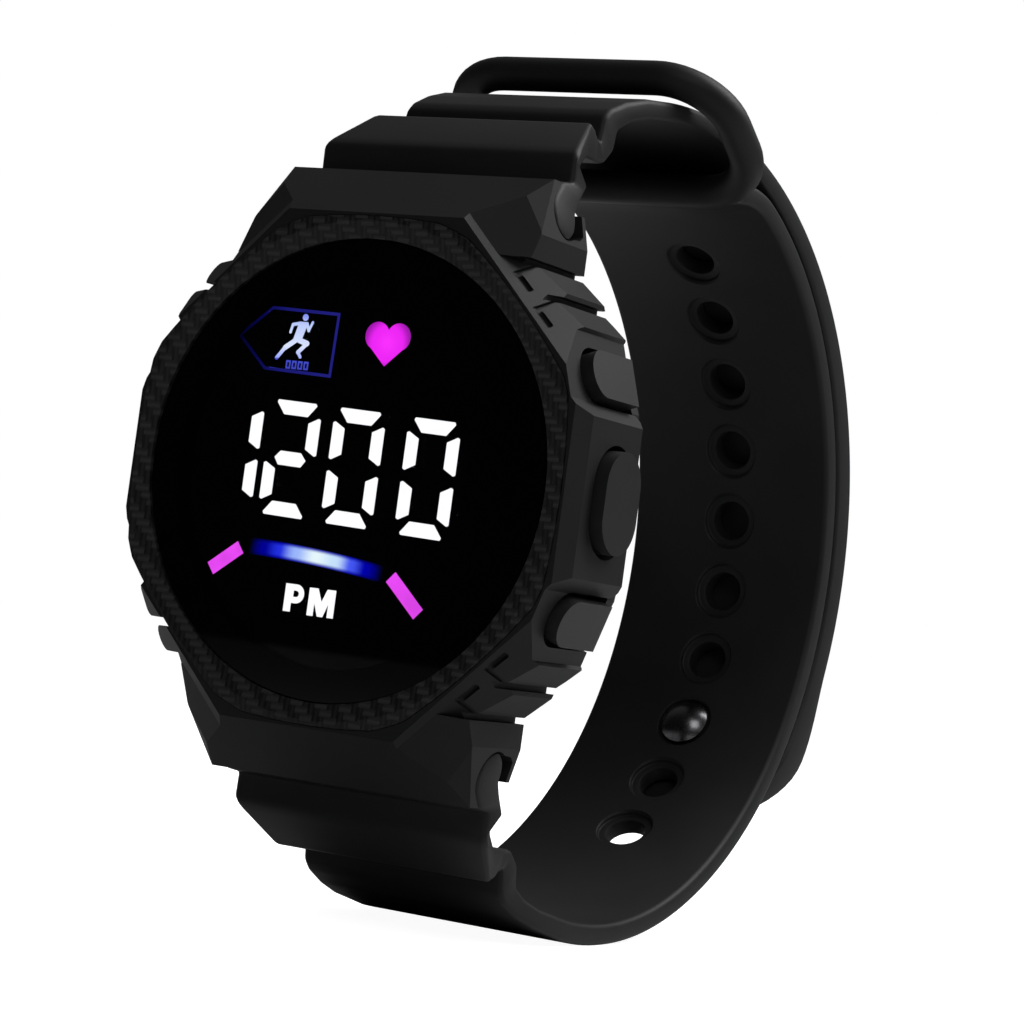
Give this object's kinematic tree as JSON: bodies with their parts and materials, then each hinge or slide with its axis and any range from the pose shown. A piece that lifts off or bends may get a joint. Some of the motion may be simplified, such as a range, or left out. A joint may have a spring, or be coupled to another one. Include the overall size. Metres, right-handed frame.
{
  "type": "sports watch",
  "caption": "Digital sports watch with octagonal bezel, round display, side pushers and a holed rubber strap closed through a loop.",
  "frame": {"origin": "centre of the case back's outer face", "axes": "+Y out of the case back towards the wrist, +Z to 12 o'clock, +X to 3 o'clock; the display faces -Y"},
  "size_m": [0.0411, 0.0747, 0.0736],
  "materials": {
    "case_black": "satin moulded black",
    "carbon_black": "woven carbon pattern under a satin coat",
    "glass": "flat dark display glass",
    "mask_black": "black plastic",
    "lit_white": "lit white light guide",
    "lit_blue": "lit blue light guide",
    "lit_pink": "lit pink light guide",
    "white_plastic": "moulded white",
    "board_green": "circuit board with solder mask",
    "pin_brass": "plated pins",
    "steel": "stainless steel",
    "rubber_black": "soft black seal",
    "button_black": "satin dark grey",
    "strap_rubber": "satin black moulded rubber",
    "gunmetal": "dark polished steel"
  },
  "bodies": {
    "case": {"case_body": "case_black", "bezel": "carbon_black", "display_glass": "glass", "glass_gasket": "rubber_black", "display_mask": "mask_black", "time_segments": "lit_white", "pm_mark": "lit_white", "activity_icon": "lit_blue", "heart_icon": "lit_pink", "light_arc": "lit_blue", "accent_bars": "lit_pink", "mask_spacer": "white_plastic", "display_board": "board_green", "led_chips": "white_plastic", "board_spacer": "mask_black", "board_pins": "pin_brass", "main_board": "board_green", "controller_chip": "mask_black", "quartz_crystal": "steel", "tact_switches": "mask_black", "battery_holder": "white_plastic", "coin_cell": "steel", "battery_clip": "steel", "clip_screws": "steel", "cushion_pad": "rubber_black", "back_gasket": "rubber_black", "back_cover": "case_black", "back_screws": "steel", "pusher_seals": "rubber_black", "upper_spring_bar": "steel", "upper_bar_tips": "steel", "upper_bar_spring": "steel", "lower_spring_bar": "steel", "lower_bar_tips": "steel", "lower_bar_spring": "steel"},
    "upper_pusher_body": {"upper_pusher": "button_black", "upper_pusher_clip": "steel", "upper_switch_plunger": "white_plastic"},
    "centre_pusher_body": {"centre_pusher": "button_black", "centre_pusher_clip": "steel", "centre_switch_plunger": "white_plastic"},
    "lower_pusher_body": {"lower_pusher": "button_black", "lower_pusher_clip": "steel", "lower_switch_plunger": "white_plastic"},
    "upper_strap_body": {"upper_strap": "strap_rubber", "closure_stud": "gunmetal", "stud_base": "gunmetal"},
    "lower_strap_body": {"lower_strap": "strap_rubber"}
  },
  "joints": [
    {"name": "upper_pusher_press", "type": "slide", "parent": "case", "child": "upper_pusher_body", "axis": [-0.9511, 0, -0.309], "range_m": [0, 0.0006], "stiffness_N_per_m": 1000, "springref_m": -0.0005},
    {"name": "centre_pusher_press", "type": "slide", "parent": "case", "child": "centre_pusher_body", "axis": [-1, 0, 0], "range_m": [0, 0.0006], "stiffness_N_per_m": 1000, "springref_m": -0.0005},
    {"name": "lower_pusher_press", "type": "slide", "parent": "case", "child": "lower_pusher_body", "axis": [-0.9511, 0, 0.309], "range_m": [0, 0.0006], "stiffness_N_per_m": 1000, "springref_m": -0.0005},
    {"name": "upper_strap_swing", "type": "hinge", "parent": "case", "child": "upper_strap_body", "pos_m": [0, -0.0047, 0.0215], "axis": [1, 0, 0], "range_deg": [-0.2, 0.3]},
    {"name": "lower_strap_swing", "type": "hinge", "parent": "case", "child": "lower_strap_body", "pos_m": [0, -0.0047, -0.0215], "axis": [1, 0, 0], "range_deg": [-0.2, 0.3]}
  ],
  "couplings": [
    {"joint": "lower_strap_swing", "follows": "upper_strap_swing", "ratio": 1}
  ]
}
